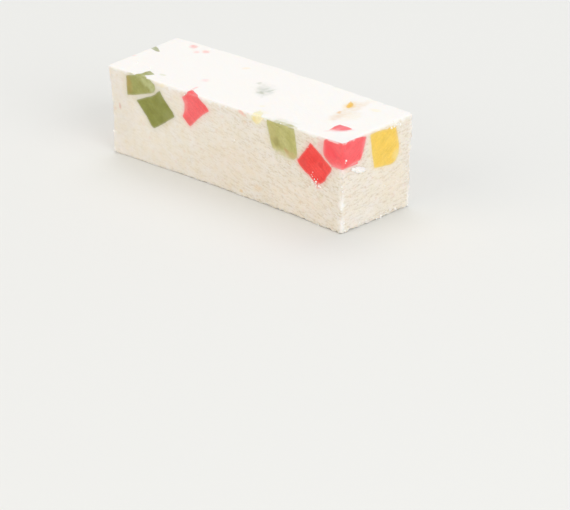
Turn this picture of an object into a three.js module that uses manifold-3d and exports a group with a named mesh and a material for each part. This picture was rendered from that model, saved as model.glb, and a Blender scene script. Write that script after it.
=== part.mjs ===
// A bar of pastila: a stick cut from a slab of white whipped fruit foam with diced candied fruit set in it.
// Millimetres, +Z up. X runs along the bar, -Y is its best-known long side, and it rests on Z = 0.
// The knife cut each dice together with the foam, so a dice lies flush with the face that it shows on.
import * as THREE from "three";
import { mergeVertices } from "three/addons/utils/BufferGeometryUtils.js";
import Module from "manifold-3d";

// The bar
const barLength = 80.3;
const barWidth = 25.4;
const barHeight = 24;
const edgeRadius = 0.5;

// How the hand-cut bar strays from a true block
const topSwell = 0.7; // each long side swells this much at the middle of its top edge
const footWaist = 1.1; // and is hollowed this much at the middle of its foot
const footNarrowing = 0.4; // each long side's foot lies this much further in
const farTopSpread = 0.4; // the top of the -X end is this much wider on each side
const farWaist = 0.7; // the -X end is hollowed this much at mid height
const farFootTuck = 0.25; // and its foot lies this much further in
const nearFootTuck = 0.5; // the same at the +X end
const farSkew = 0.65; // the -X end is off square by this much at each side
const nearSkew = 0.3; // the same at the +X end
const topCrown = 0.25; // the top rises this much at the middle of the bar
const backRise = 0.3; // the top's +Y edge is this much higher than its -Y edge
const nearBackRise = 0.25; // and at the +X end this much more
const waveHeight = 0.06; // slow unevenness of every face, which makes the edges waver a little

// Its surface
const cellSize = 1.75; // spacing of the surface grid
const streakDepth = 0.12; // streaks that the knife drew in the foam
const streakLength = 6;
const streakWidth = 2.2;
const streakTilt = 25; // degrees below the bar's length on the long sides, above the level on the ends
const edgeCrumble = 0.22; // raggedness of the cut edges
const crumbleSize = 1.9;

// The fruit
const pocketGap = 0.3; // clearance round each dice
const diceDepth = 5.5; // how far a dice goes into the foam
const chipDepth = 2.5; // the same for a thin scrap
const cornerSoftness = 0.5; // how far along its sides a dice's corner is rounded
const cornerSteps = 2;
const overshoot = 3; // how far a cutting shape stands out of the bar

const wasm = await Module();
wasm.setup();

const foam = new THREE.MeshStandardMaterial({ color: 0xf3ede1, roughness: 0.9, metalness: 0 });
const jelly = (color) => new THREE.MeshStandardMaterial({ color, roughness: 0.35, metalness: 0 });
const fruitColours = {
  green: jelly(0x8a9148),
  olive: jelly(0xaaa764),
  paleGreen: jelly(0xbfbd80),
  red: jelly(0xe64a4c),
  coral: jelly(0xf2666c),
  pink: jelly(0xf4596c),
  yellow: jelly(0xf3cb5a),
  paleYellow: jelly(0xf3e6a6),
  orange: jelly(0xf0b45e),
};

// Each face as its viewer sees it: the directions of right, up and out, and how far out the face lies.
const faces = {
  front: { right: [1, 0, 0], up: [0, 0, 1], out: [0, -1, 0], reach: barWidth / 2 },
  back: { right: [-1, 0, 0], up: [0, 0, 1], out: [0, 1, 0], reach: barWidth / 2 },
  near: { right: [0, 1, 0], up: [0, 0, 1], out: [1, 0, 0], reach: barLength / 2 },
  far: { right: [0, -1, 0], up: [0, 0, 1], out: [-1, 0, 0], reach: barLength / 2 },
  top: { right: [1, 0, 0], up: [0, 1, 0], out: [0, 0, 1], reach: barHeight },
};

// The pieces of fruit. A dice that shows on two or three faces has an outline on each, in that face's own
// directions: right and up from the middle of the bar's foot, or from the middle of its top.
const topLine = barHeight - 0.7; // dice that reach the top edge stop under the top's thin skin
const beyondCorner = 2; // an outline that wraps a vertical edge runs on past it
const pieces = [
  {
    name: "dice_olive_front",
    material: fruitColours.olive,
    shows: [
      {
        face: "front",
        outline: [
          [-32.8, 17.6],
          [-29.6, 18.3],
          [-25.4, 19.9],
          [-23.3, 21.0],
          [-22.5, 22.2],
          [-22.9, topLine],
          [-31.6, topLine],
          [-32.8, 22.6],
        ],
      },
      {
        face: "top",
        depth: chipDepth,
        outline: [
          [-28.7, -11.8],
          [-26.2, -11.6],
          [-25.5, -10.1],
          [-28.2, -9.1],
          [-28.7, -10.2],
        ],
      },
    ],
  },
  {
    name: "dice_green_front",
    material: fruitColours.green,
    shows: [
      {
        face: "front",
        outline: [
          [-29.6, 16.8],
          [-24.2, 10.6],
          [-16.1, 15.8],
          [-20.8, 21.9],
        ],
      },
    ],
  },
  {
    name: "dice_coral_front",
    material: fruitColours.coral,
    shows: [
      {
        face: "front",
        outline: [
          [-13.3, 16.9],
          [-11.0, 14.7],
          [-3.5, 20.9],
          [-6.4, topLine],
          [-11.7, topLine],
          [-12.8, 22.2],
          [-12.4, 20.0],
        ],
      },
    ],
  },
  {
    name: "chip_yellow_front",
    material: fruitColours.paleYellow,
    shows: [
      {
        face: "front",
        depth: chipDepth,
        outline: [
          [10.6, topLine],
          [10.6, 22.4],
          [12.2, 21.5],
          [13.4, 22.2],
          [14.6, topLine],
        ],
      },
    ],
  },
  {
    name: "dice_pale_green_front",
    material: fruitColours.paleGreen,
    shows: [
      {
        face: "front",
        outline: [
          [15.7, topLine],
          [16.1, 20.9],
          [16.7, 18.1],
          [17.5, 16.3],
          [19.9, 15.5],
          [24.0, 15.4],
          [25.1, 16.4],
          [24.7, topLine],
        ],
      },
    ],
  },
  {
    name: "dice_red_front",
    material: fruitColours.red,
    shows: [
      {
        face: "front",
        outline: [
          [25.3, 15.6],
          [27.5, 13.3],
          [31.6, 10.9],
          [33.1, 11.7],
          [36.4, 16.6],
          [29.7, 21.6],
        ],
      },
    ],
  },
  {
    name: "dice_pink_corner",
    material: fruitColours.pink,
    shows: [
      {
        face: "front",
        outline: [
          [33.8, topLine],
          [33.7, 20.4],
          [34.9, 18.6],
          [36.3, 17.5],
          [barLength / 2 + beyondCorner, 17.1],
          [barLength / 2 + beyondCorner, topLine],
        ],
      },
      {
        face: "near",
        depth: 4,
        outline: [
          [-barWidth / 2 - beyondCorner, 17.1],
          [-10.1, 17.3],
          [-6.2, 17.8],
          [-5.3, 19.4],
          [-4.4, topLine],
          [-barWidth / 2 - beyondCorner, topLine],
        ],
      },
      {
        face: "top",
        depth: chipDepth,
        outline: [
          [32.0, -9.0],
          [33.6, -7.8],
          [35.7, -4.6],
          [31.6, -4.4],
          [31.4, -6.2],
        ],
      },
    ],
  },
  {
    name: "dice_yellow_end",
    material: fruitColours.yellow,
    shows: [
      {
        face: "near",
        outline: [
          [-1.1, 14.1],
          [3.7, 13.4],
          [6.6, 13.8],
          [7.7, 16.6],
          [7.3, 19.8],
          [6.4, topLine - 0.3],
          [-2.8, topLine],
          [-2.0, 17.8],
        ],
      },
    ],
  },
  {
    name: "dice_green_far",
    material: fruitColours.green,
    shows: [
      {
        face: "far",
        outline: [
          [-9.2, 17.4],
          [-3.9, 15.9],
          [-1.8, topLine],
          [-8.1, topLine],
        ],
      },
      {
        face: "top",
        depth: chipDepth,
        outline: [
          [-barLength / 2 - beyondCorner, 2.6],
          [-36.3, 1.9],
          [-36.1, 2.8],
          [-barLength / 2 - beyondCorner, 5.2],
        ],
      },
    ],
  },
  {
    name: "dice_red_far",
    material: fruitColours.red,
    shows: [
      {
        face: "far",
        outline: [
          [2.4, 13.6],
          [7.2, 10.3],
          [9.9, 15.8],
          [5.0, 19.4],
        ],
      },
    ],
  },
  {
    name: "chip_orange_top",
    material: fruitColours.orange,
    shows: [
      {
        face: "top",
        depth: chipDepth,
        outline: [
          [23.7, 8.4],
          [25.4, 4.6],
          [26.6, 4.6],
          [26.3, 6.8],
        ],
      },
    ],
  },
  {
    name: "dice_red_back",
    material: fruitColours.red,
    shows: [
      {
        face: "back",
        outline: [
          [-30.9, 14.0],
          [-24.6, 12.2],
          [-22.6, 18.9],
          [-29.3, 20.9],
        ],
      },
    ],
  },
  {
    name: "dice_yellow_back",
    material: fruitColours.yellow,
    shows: [
      {
        face: "back",
        outline: [
          [-16.6, 13.9],
          [-13.6, 14.4],
          [-14.7, topLine],
          [-19.0, topLine],
          [-18.4, 17.8],
        ],
      },
    ],
  },
  {
    name: "dice_green_back",
    material: fruitColours.green,
    shows: [
      {
        face: "back",
        outline: [
          [-7.6, 14.9],
          [-2.3, 9.6],
          [3.1, 14.5],
          [-1.9, 20.2],
        ],
      },
    ],
  },
  {
    name: "dice_pink_back",
    material: fruitColours.coral,
    shows: [
      {
        face: "back",
        outline: [
          [8.2, 17.2],
          [14.9, 16.2],
          [16.1, topLine],
          [7.0, topLine],
        ],
      },
    ],
  },
  {
    name: "dice_olive_back",
    material: fruitColours.olive,
    shows: [
      {
        face: "back",
        outline: [
          [21.7, 18.9],
          [23.8, 13.4],
          [28.0, 16.4],
          [30.3, 20.8],
          [25.8, 19.4],
        ],
      },
    ],
  },
  {
    name: "chip_yellow_back",
    material: fruitColours.yellow,
    shows: [
      {
        face: "back",
        depth: chipDepth,
        outline: [
          [32.0, 8.1],
          [35.4, 8.9],
          [34.6, 11.6],
          [31.6, 11.0],
        ],
      },
    ],
  },
];

// A white flake of foam that clings to the +X end, by its middle, half size and turn in degrees.
const flake = { face: "near", middle: [-7.1, 15.7], halfSize: [2.5, 0.65, 0.5], turn: -21 };

// Repeatable noise from -1 to 1 over a unit lattice
function latticeValue(i, j, seed) {
  const value = Math.sin(i * 127.1 + j * 311.7 + seed * 74.7) * 43758.5453;
  return 2 * (value - Math.floor(value)) - 1;
}

function smoothNoise(u, v, seed) {
  const i = Math.floor(u);
  const j = Math.floor(v);
  const a = THREE.MathUtils.smoothstep(u - i, 0, 1);
  const b = THREE.MathUtils.smoothstep(v - j, 0, 1);
  const low = THREE.MathUtils.lerp(latticeValue(i, j, seed), latticeValue(i + 1, j, seed), a);
  const high = THREE.MathUtils.lerp(latticeValue(i, j + 1, seed), latticeValue(i + 1, j + 1, seed), a);
  return THREE.MathUtils.lerp(low, high, b);
}

// Streaks drawn out along a line that rises by the tilt.
function streaks(across, up, seed) {
  const tilt = THREE.MathUtils.degToRad(streakTilt);
  const along = across * Math.cos(tilt) + up * Math.sin(tilt);
  const over = up * Math.cos(tilt) - across * Math.sin(tilt);
  return smoothNoise(along / streakLength, over / streakWidth, seed);
}

// Slow unevenness of a face, with waves of about 14 and 33 mm.
function slowWave(u, v, phase) {
  const long = Math.sin(u / 5.2 + phase) * Math.cos(v / 6.1 - phase);
  const short = Math.sin(u / 2.3 + v / 4.7 + 2 * phase);
  return waveHeight * (long + short);
}

// Moves a point of the plain block to where it lies in the hand-cut bar.
function handCut(point) {
  const along = point.x / (barLength / 2);
  const across = point.y / (barWidth / 2);
  const rise = point.z / barHeight;
  const drop = 1 - rise;
  const far = (1 - along) / 2;
  const near = (1 + along) / 2;
  const bow = 1 - along * along;
  const hollow = 1 - (2 * rise - 1) ** 2;
  const farShift = farWaist * hollow + farFootTuck * drop - farSkew * across;
  const nearShift = nearSkew * across - nearFootTuck * drop;
  const widen = farTopSpread * rise * far - footNarrowing * drop + bow * (topSwell * rise - footWaist * drop);
  const waveX = Math.sign(along) * along ** 8 * slowWave(point.y, point.z, 1);
  const waveY = Math.sign(across) * across ** 4 * slowWave(point.x, point.z, across > 0 ? 2 : 3);
  const lift = ((1 + across) / 2) * (backRise + nearBackRise * near);
  const waveZ = rise * rise * (topCrown * bow + lift + 0.5 * slowWave(point.x, point.y, 4));
  point.x += far * farShift + near * nearShift + waveX;
  point.y += across * widen + waveY;
  point.z += waveZ;
  return point;
}

// How far the surface stands out of its smooth form, at a point of the plain block with its outward normal.
function roughness(point, normal) {
  const side = streaks(point.x, -point.z * Math.sign(normal.y), normal.y < 0 ? 3 : 4) * Math.abs(normal.y);
  const end = streaks(point.y, point.z, normal.x > 0 ? 5 : 6) * Math.abs(normal.x);
  const sharpness = 2 * Math.hypot(normal.x * normal.y, normal.y * normal.z, normal.z * normal.x);
  const u = (point.x + point.z) / crumbleSize;
  const v = (point.y - point.z) / crumbleSize;
  return streakDepth * (side + end) - edgeCrumble * sharpness * Math.abs(smoothNoise(u, v, 11));
}

// A closed three.js geometry as a solid
function solidOf(geometry) {
  const bare = geometry.clone();
  bare.deleteAttribute("normal");
  bare.deleteAttribute("uv");
  const merged = mergeVertices(bare, 1e-4);
  const vertProperties = new Float32Array(merged.attributes.position.array);
  const triVerts = new Uint32Array(merged.index.array);
  return new wasm.Manifold(new wasm.Mesh({ numProp: 3, vertProperties, triVerts }));
}

// A solid as a three.js geometry with flat faces
function geometryOf(solid) {
  const mesh = solid.getMesh();
  const geometry = new THREE.BufferGeometry();
  geometry.setAttribute("position", new THREE.BufferAttribute(mesh.vertProperties, 3));
  geometry.setIndex(new THREE.BufferAttribute(mesh.triVerts, 1));
  const flat = geometry.toNonIndexed();
  flat.computeVertexNormals();
  return flat;
}

const joined = (solids) => solids.reduce((sum, solid) => sum.add(solid));

// Places a line of the surface grid so that the outermost cells are as wide as the edge's rounding.
function gridLine(value, half, cells) {
  const index = Math.round(((value + half) / (2 * half)) * cells);
  if (index === 0) return -half;
  if (index === cells) return half;
  return (half - edgeRadius) * ((2 * (index - 1)) / (cells - 2) - 1);
}

// The whole bar before any fruit is let into it: a rounded block, roughened, warped and cut flat at its foot.
function wholeBar() {
  const block = new THREE.Vector3(barLength, barWidth, barHeight + 2 * edgeRadius);
  const half = block.clone().multiplyScalar(0.5);
  const cells = block.toArray().map((size) => Math.round(size / cellSize));
  const geometry = new THREE.BoxGeometry(...block.toArray(), ...cells);
  const place = geometry.attributes.position;
  const core = half.clone().subScalar(edgeRadius);
  for (let i = 0; i < place.count; i++) {
    const onBlock = new THREE.Vector3(
      gridLine(place.getX(i), half.x, cells[0]),
      gridLine(place.getY(i), half.y, cells[1]),
      gridLine(place.getZ(i), half.z, cells[2]),
    );
    const point = onBlock.clone().clamp(core.clone().negate(), core);
    const normal = onBlock.sub(point).normalize();
    point.addScaledVector(normal, edgeRadius);
    point.z += barHeight - half.z;
    point.addScaledVector(normal, roughness(point, normal));
    handCut(point);
    place.setXYZ(i, point.x, point.y, point.z);
  }
  const belowFoot = new THREE.BoxGeometry(2 * barLength, 2 * barWidth, barHeight);
  belowFoot.translate(0, 0, -barHeight / 2);
  return solidOf(geometry).subtract(solidOf(belowFoot));
}

// An outline with each side moved outwards by a margin. The corners run anticlockwise.
function grown(corners, margin) {
  return corners.map((corner, i) => {
    const arriving = corner.clone().sub(corners.at(i - 1)).normalize();
    const leaving = corners[(i + 1) % corners.length].clone().sub(corner).normalize();
    const outward = new THREE.Vector2(arriving.y + leaving.y, -arriving.x - leaving.x);
    return corner.clone().addScaledVector(outward, margin / (1 + arriving.dot(leaving)));
  });
}

// A closed shape with each corner rounded by a short curve
function softShape(corners) {
  const points = corners.flatMap((corner, i) => {
    const side = (other) => {
      const share = Math.min(0.4, cornerSoftness / corner.distanceTo(other));
      return corner.clone().lerp(other, share);
    };
    const start = side(corners.at(i - 1));
    const end = side(corners[(i + 1) % corners.length]);
    return new THREE.QuadraticBezierCurve(start, corner, end).getPoints(cornerSteps);
  });
  return new THREE.Shape(points);
}

// The matrix that turns right, up and out on a face to the bar's own directions
function faceMatrix(face, out) {
  const axes = [face.right, face.up, face.out].map((axis) => new THREE.Vector3(...axis));
  const start = axes[2].clone().multiplyScalar(out);
  return new THREE.Matrix4().makeBasis(...axes).setPosition(start);
}

// The straight-sided form that a piece of fruit has behind one face, grown by a margin on its hidden sides
function behindFace({ face, outline, depth = diceDepth }, margin) {
  const corners = grown(outline.map(([right, up]) => new THREE.Vector2(right, up)), margin);
  const run = overshoot + depth + margin;
  const geometry = new THREE.ExtrudeGeometry(softShape(corners), { depth: run, bevelEnabled: false });
  const back = faces[face].reach - depth - margin;
  geometry.applyMatrix4(faceMatrix(faces[face], back));
  return solidOf(geometry);
}

const fruitForm = (piece, margin) => joined(piece.shows.map((show) => behindFace(show, margin)));

// The flake, half sunk in its face
function flakeForm() {
  const geometry = new THREE.SphereGeometry(1, 10, 6);
  geometry.scale(...flake.halfSize);
  geometry.rotateZ(THREE.MathUtils.degToRad(flake.turn));
  geometry.translate(...flake.middle, 0);
  geometry.applyMatrix4(faceMatrix(faces[flake.face], faces[flake.face].reach));
  return solidOf(geometry);
}

const group = new THREE.Group();

function addPiece(name, solid, material) {
  const mesh = new THREE.Mesh(geometryOf(solid), material);
  mesh.name = name;
  group.add(mesh);
}

const bar = wholeBar();
const pockets = joined(pieces.map((piece) => fruitForm(piece, pocketGap)));
addPiece("foam_bar", bar.subtract(pockets).add(flakeForm()), foam);
for (const piece of pieces) {
  addPiece(piece.name, bar.intersect(fruitForm(piece, 0)), piece.material);
}

// The origin lies under the middle of the bar's box.
const middle = new THREE.Box3().setFromObject(group).getCenter(new THREE.Vector3());
group.position.set(-middle.x, -middle.y, 0);

export default group;
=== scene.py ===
from math import cos, pi, radians, sin

import bmesh
import bpy
import numpy as np
from mathutils import Matrix, Vector


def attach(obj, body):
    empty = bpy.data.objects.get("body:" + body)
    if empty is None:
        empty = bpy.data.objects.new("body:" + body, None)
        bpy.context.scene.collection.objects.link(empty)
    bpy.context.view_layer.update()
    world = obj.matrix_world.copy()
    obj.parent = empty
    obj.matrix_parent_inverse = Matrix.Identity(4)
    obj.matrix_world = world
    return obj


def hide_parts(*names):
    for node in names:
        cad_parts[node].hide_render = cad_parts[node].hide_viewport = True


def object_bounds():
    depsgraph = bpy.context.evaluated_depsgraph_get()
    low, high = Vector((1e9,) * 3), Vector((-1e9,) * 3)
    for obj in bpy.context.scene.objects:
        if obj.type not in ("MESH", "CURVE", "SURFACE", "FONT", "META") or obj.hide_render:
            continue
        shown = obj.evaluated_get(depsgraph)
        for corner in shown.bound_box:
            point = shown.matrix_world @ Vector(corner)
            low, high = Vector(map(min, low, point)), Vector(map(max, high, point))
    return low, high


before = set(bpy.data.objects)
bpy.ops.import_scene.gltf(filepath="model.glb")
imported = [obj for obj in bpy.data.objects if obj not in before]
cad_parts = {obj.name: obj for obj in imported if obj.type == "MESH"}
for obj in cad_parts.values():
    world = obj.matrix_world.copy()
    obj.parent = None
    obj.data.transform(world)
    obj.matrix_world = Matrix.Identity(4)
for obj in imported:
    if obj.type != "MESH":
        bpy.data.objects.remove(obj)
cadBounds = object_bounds()
metre = 0.001  # one millimetre
print("frame loaded:", len(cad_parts), "nodes")

# The form of the bar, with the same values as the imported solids
barForm = {
    "length": 80.3,
    "width": 25.4,
    "height": 24.0,
    "shift": (0.022, 0.014, 0.0),  # from the true block's middle to the middle of the bar's box
    "topSwell": 0.7,  # outwards, at the middle of each long side's top edge
    "footWaist": 1.1,  # inwards, at the middle of each long side's foot
    "footNarrowing": 0.4,
    "farTopSpread": 0.4,
    "farWaist": 0.7,
    "farFootTuck": 0.25,
    "nearFootTuck": 0.5,
    "farSkew": 0.65,
    "nearSkew": 0.3,
    "topCrown": 0.25,
    "backRise": 0.3,
    "nearBackRise": 0.25,
    "waveHeight": 0.06,
    "longWave": (5.2, 6.1),  # along and up a face
    "shortWave": (2.3, 4.7),
}
length, width, height = barForm["length"], barForm["width"], barForm["height"]
halfSize = np.array((length, width, height)) / 2
shift = np.array(barForm["shift"])


def slowWave(u, v, phase):
    (longU, longV), (shortU, shortV) = barForm["longWave"], barForm["shortWave"]
    long = np.sin(u / longU + phase) * np.cos(v / longV - phase)
    short = np.sin(u / shortU + v / shortV + 2 * phase)
    return barForm["waveHeight"] * (long + short)


# Moves points of the true block to where they lie in the hand-cut bar
def handCut(points):
    x, y, z = points.T
    along, across, rise = x / halfSize[0], y / halfSize[1], z / height
    drop, bow = 1 - rise, 1 - along**2
    far, near = (1 - along) / 2, (1 + along) / 2
    hollow = 1 - (2 * rise - 1) ** 2
    farShift = barForm["farWaist"] * hollow + barForm["farFootTuck"] * drop - barForm["farSkew"] * across
    nearShift = barForm["nearSkew"] * across - barForm["nearFootTuck"] * drop
    swell = bow * (barForm["topSwell"] * rise - barForm["footWaist"] * drop)
    widen = barForm["farTopSpread"] * rise * far - barForm["footNarrowing"] * drop + swell
    waveX = np.sign(along) * along**8 * slowWave(y, z, 1)  # the powers keep the waves near the faces
    waveY = np.sign(across) * across**4 * slowWave(x, z, np.where(across > 0, 2, 3))
    lift = (1 + across) / 2 * (barForm["backRise"] + barForm["nearBackRise"] * near)
    waveZ = rise**2 * (barForm["topCrown"] * bow + lift + 0.5 * slowWave(x, y, 4))
    moved = (x + far * farShift + near * nearShift + waveX, y + across * widen + waveY, z + waveZ)
    return np.stack(moved, 1) + shift


# And back again, a little closer each time
def trueBlock(points):
    block = points - shift
    for _ in range(5):
        block = block + points - handCut(block)
    return block


# Repeatable noise from -1 to 1 over a unit lattice, by an integer hash. Each use has its own seed
def latticeValue(cell, seed):
    key = (cell @ (374761393, 668265263, 1440670441) + seed * 362437) & 0xFFFFFFFF
    key = ((key ^ (key >> 13)) * 1274126177) & 0xFFFFFFFF
    return ((key ^ (key >> 16)) & 0xFFFF) / 0x7FFF - 1


def noise(points, seed):
    cell = np.floor(points).astype(np.int64)
    part = points - cell
    part = part * part * (3 - 2 * part)
    total = np.zeros(len(points))
    for corner in np.ndindex(2, 2, 2):
        weight = np.where(corner, part, 1 - part).prod(1)
        total += weight * latticeValue(cell + corner, seed)
    return total


# Noise of several sizes over each other, as (size, share)
def layeredNoise(points, layers, seed, start=0.0):
    return sum((share * noise(points / size, seed + k) for k, (size, share) in enumerate(layers)), start)


# Noise on a face, drawn out along a line that rises by the tilt
def streaks(u, v, tilt, size, seed):
    along = (u * cos(tilt) + v * sin(tilt)) / size[0]
    over = (v * cos(tilt) - u * sin(tilt)) / size[1]
    return noise(np.stack((along, over, np.full(len(u), 0.5)), 1), seed)


# Round spots scattered on a face, at most one in each cell of a grid: 0 outside, 1 at a spot's middle
def spots(u, v, spacing, share, radius, seed):
    smallest, spread = 0.55, 0.6  # of the radius
    cellU, cellV = np.floor(u / spacing), np.floor(v / spacing)
    deepest = np.zeros(len(u))
    for stepU, stepV in np.ndindex(3, 3):
        cell = np.stack((cellU + stepU - 1, cellV + stepV - 1, np.zeros(len(u))), 1).astype(np.int64)
        draws = [latticeValue(cell, seed + k) / 2 + 0.5 for k in range(4)]
        middleU, middleV = (cell[:, 0] + draws[0]) * spacing, (cell[:, 1] + draws[1]) * spacing
        reach = radius * (smallest + spread * draws[2])
        closeness = 1 - ((u - middleU) ** 2 + (v - middleV) ** 2) / reach**2
        deepest = np.maximum(deepest, np.where(draws[3] < share, np.maximum(closeness, 0), 0) ** 1.5)
    return deepest


def smoothStep(value, low, high):
    share = np.clip((value - low) / (high - low), 0, 1)
    return share * share * (3 - 2 * share)


# The dense block that both the foam and the fruit are cut from: points, outward normals and quads
blockGrid = {"cell": 0.335, "edgeRadius": 0.36}


def roundedBlock():
    radius = blockGrid["edgeRadius"]
    core = halfSize - radius
    lines = []
    for half, inner in zip(halfSize, core):
        between = np.linspace(-inner, inner, round(2 * inner / blockGrid["cell"]) + 1)
        lines.append(np.concatenate(([-half], between, [half])))
    counts = [len(line) for line in lines]
    quads = []
    for axis in range(3):
        first, second = (axis + 1) % 3, (axis + 2) % 3
        cells = np.indices((counts[first] - 1, counts[second] - 1)).reshape(2, -1)
        for end in (0, counts[axis] - 1):
            turn = ((0, 0), (1, 0), (1, 1), (0, 1)) if end else ((0, 0), (0, 1), (1, 1), (1, 0))
            quad = np.full((cells.shape[1], 4, 3), end)
            for corner, (stepFirst, stepSecond) in enumerate(turn):
                quad[:, corner, first] = cells[0] + stepFirst
                quad[:, corner, second] = cells[1] + stepSecond
            quads.append(quad)
    keys = np.concatenate(quads) @ (counts[1] * counts[2], counts[2], 1)
    used, faces = np.unique(keys, return_inverse=True)
    places = (used // (counts[1] * counts[2]), used // counts[2] % counts[1], used % counts[2])
    onBlock = np.stack([line[place] for line, place in zip(lines, places)], 1)
    middle = np.clip(onBlock, -core, core)
    normals = onBlock - middle
    normals /= np.linalg.norm(normals, axis=1, keepdims=True)
    points = middle + normals * radius + (0, 0, halfSize[2])
    return points, normals, faces.reshape(-1, 4)


# How far points of the true block are from its nearest edge of each kind
def toEdges(points):
    toEnd, toSide = halfSize[0] - abs(points[:, 0]), halfSize[1] - abs(points[:, 1])
    nearer = np.minimum(toEnd, toSide)
    z = points[:, 2]
    toTop = np.hypot(nearer, height - z)
    return {"upright": np.hypot(toEnd, toSide), "foot": np.hypot(nearer, z), "top": toTop}


# The relief of the foam: streaks as ((length, width), depth), and edges that crumble by (depth, reach)
foamRelief = {
    "sideTilt": radians(-20),  # the knife's lines on the long sides fall towards +X
    "endTilt": radians(12),  # and rise towards +Y on the ends
    "sideStreaks": (((2.6, 0.85), 0.06), ((1.3, 0.6), 0.05)),
    "endStreaks": (((2.2, 0.85), 0.08), ((1.2, 0.6), 0.06)),
    "topRipple": (4.5, 0.03),
    "pits": (1.2, 0.45, 0.42, 0.14),  # spacing, share of the cells, radius, depth
    "edges": {"upright": (0.4, 0.7), "foot": (0.32, 0.5), "top": (0.1, 0.4)},
    "crumble": ((1.2, 1), (0.6, 1)),  # the noise that makes the edges ragged
    "crumbleMost": 1.7,
    "farCalm": 0.75,  # the knife went through the far end more smoothly, so the relief fades towards it
    "farReach": (-30, 35),  # from the bar's near part to its far end
    "apart": 200,  # between the noise of opposite faces
}


# How much of the relief is left along the bar
def calmed(x):
    return 1 - foamRelief["farCalm"] * smoothStep(-x, *foamRelief["farReach"])


def foamHeight(points, normals):
    x, y, z = points.T
    side, end, top = abs(normals[:, 1]), abs(normals[:, 0]), abs(normals[:, 2])
    side *= calmed(x)
    apart = foamRelief["apart"] * np.sign(normals[:, 0] + normals[:, 1])
    relief = np.zeros(len(points))
    for kind, facing, u, seed in (("side", side, x, 20), ("end", end, y, 30)):
        for k, (size, depth) in enumerate(foamRelief[kind + "Streaks"]):
            relief += facing * depth * streaks(u + apart, z, foamRelief[kind + "Tilt"], size, seed + k)
    size, depth = foamRelief["topRipple"]
    relief += top * depth * noise(points / size, 40)
    spacing, share, radius, depth = foamRelief["pits"]
    relief -= side * depth * spots(x + apart, z, spacing, share, radius, 50)
    relief -= end * depth * spots(y + apart, z, spacing, share, radius, 55)
    ragged = np.clip(layeredNoise(points, foamRelief["crumble"], 60, 0.5), 0, foamRelief["crumbleMost"])
    for kind, distance in toEdges(points).items():
        depth, reach = foamRelief["edges"][kind]
        relief -= depth * ragged * np.exp(-((distance / reach) ** 2)) * calmed(x)
    return relief


# The relief of the cut jelly: faint lines that the knife drew, and a brim sunk by (depth, reach)
jellyRelief = {
    "sink": 0.03,
    "depth": 0.015,
    "line": (7.0, 0.7),
    "sideTilt": radians(-45),
    "endTilt": radians(35),
    "brim": (0.08, 0.4),
}


def jellyHeight(points, normals):
    x, y, z = points.T
    side = abs(normals[:, 1]) * streaks(x, z, jellyRelief["sideTilt"], jellyRelief["line"], 70)
    end = abs(normals[:, 0]) * streaks(y, z, jellyRelief["endTilt"], jellyRelief["line"], 71)
    sunk, reach = jellyRelief["brim"]
    edge = sunk * np.exp(-((toEdges(points)["top"] / reach) ** 2))
    return jellyRelief["depth"] * (side + end) - jellyRelief["sink"] - edge


def newObject(name, data):
    piece = bpy.data.objects.new(name, data)
    bpy.context.scene.collection.objects.link(piece)
    return piece


# In metres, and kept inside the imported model's box
def inBox(points):
    return np.clip(np.asarray(points) * metre, cadBounds[0], cadBounds[1])


def newPiece(name, points, faces):
    mesh = bpy.data.meshes.new(name)
    mesh.from_pydata(inBox(points).tolist(), [], np.asarray(faces).tolist())
    return newObject(name, mesh)


def pointsOf(mesh):
    flat = np.empty(len(mesh.vertices) * 3)
    mesh.vertices.foreach_get("co", flat)
    return flat.reshape(-1, 3) / metre


blockPoints, blockNormals, blockFaces = roundedBlock()


def denseBar(name, heightAt):
    raised = blockPoints + blockNormals * heightAt(blockPoints, blockNormals)[:, None]
    raised[:, 2] = np.maximum(raised[:, 2], 0)
    return newPiece(name, handCut(raised), blockFaces)


foamBar = denseBar("foamBar", foamHeight)
jellyBar = denseBar("jellyBar", jellyHeight)
crumbGround = newObject("crumbGround", foamBar.data.copy())
print("dense bar:", len(blockFaces), "quads")

# The faces as their viewer sees them: right, up and out, and how far out the face lies
faceViews = {
    "front": ((1, 0, 0), (0, 0, 1), (0, -1, 0), halfSize[1]),
    "back": ((-1, 0, 0), (0, 0, 1), (0, 1, 0), halfSize[1]),
    "near": ((0, 1, 0), (0, 0, 1), (1, 0, 0), halfSize[0]),
    "far": ((0, -1, 0), (0, 0, 1), (-1, 0, 0), halfSize[0]),
    "top": ((1, 0, 0), (0, 1, 0), (0, 0, 1), height),
}
brim = height - 0.12  # dice that reach the top edge stop under the top's thin dusted skin
pastX, pastY = halfSize[0] + 2, halfSize[1] + 2  # outlines that wrap an edge run on past it

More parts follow.
